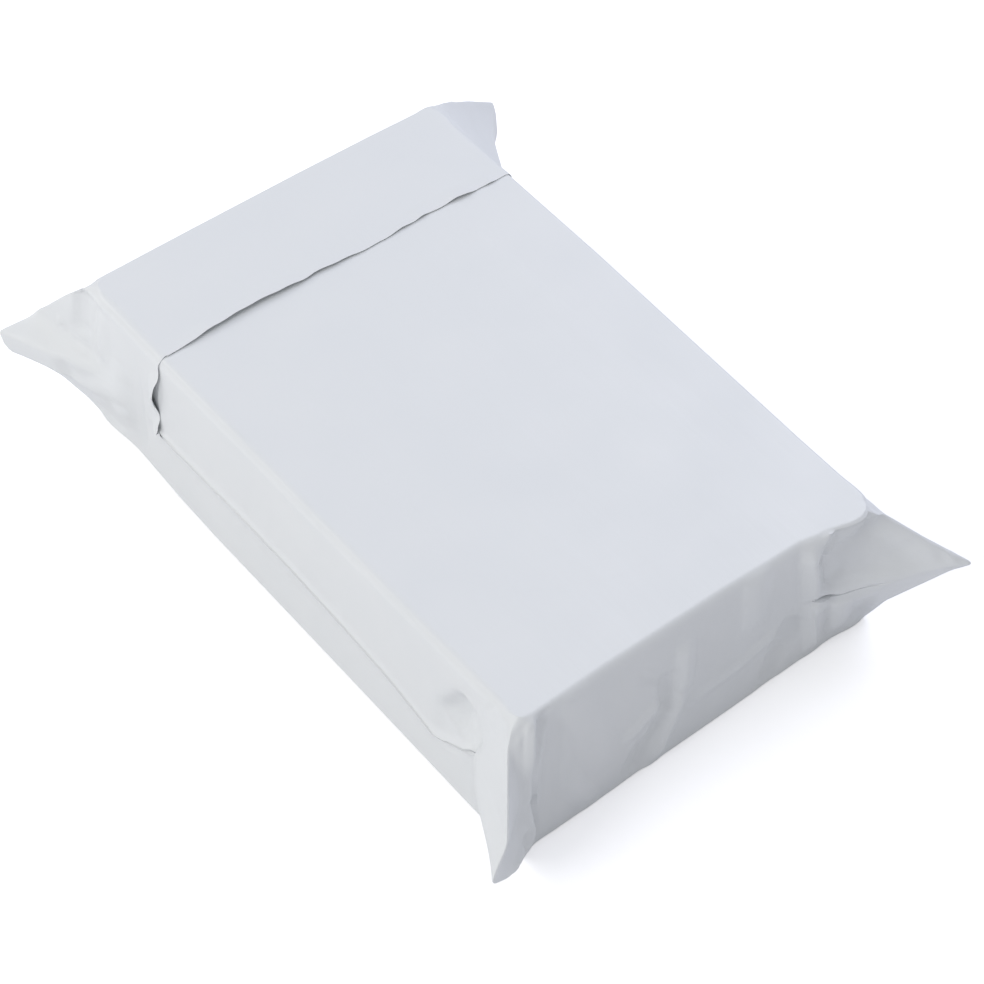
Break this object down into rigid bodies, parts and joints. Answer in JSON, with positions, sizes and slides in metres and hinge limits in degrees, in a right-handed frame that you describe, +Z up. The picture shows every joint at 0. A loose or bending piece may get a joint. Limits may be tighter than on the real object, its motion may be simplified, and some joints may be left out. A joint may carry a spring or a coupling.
{
  "type": "poly mailer bag",
  "caption": "Sealed white film mailer packed round a flat carton, with a folded flap, laid side welds and pointed corner ears.",
  "frame": {"origin": "on the ground, on the flat underside, under the middle of the packed body's outline without its ears", "axes": "+X across the bag's width, +Y along its length towards the end that the flap folds over, +Z up through the packed thickness"},
  "size_m": [0.27, 0.3857, 0.0895],
  "materials": {
    "white_film": "smooth white co-extruded polyethylene film with a soft satin sheen and shallow creases"
  },
  "bodies": {
    "root": {"mailer_bag": "white_film"}
  },
  "joints": []
}
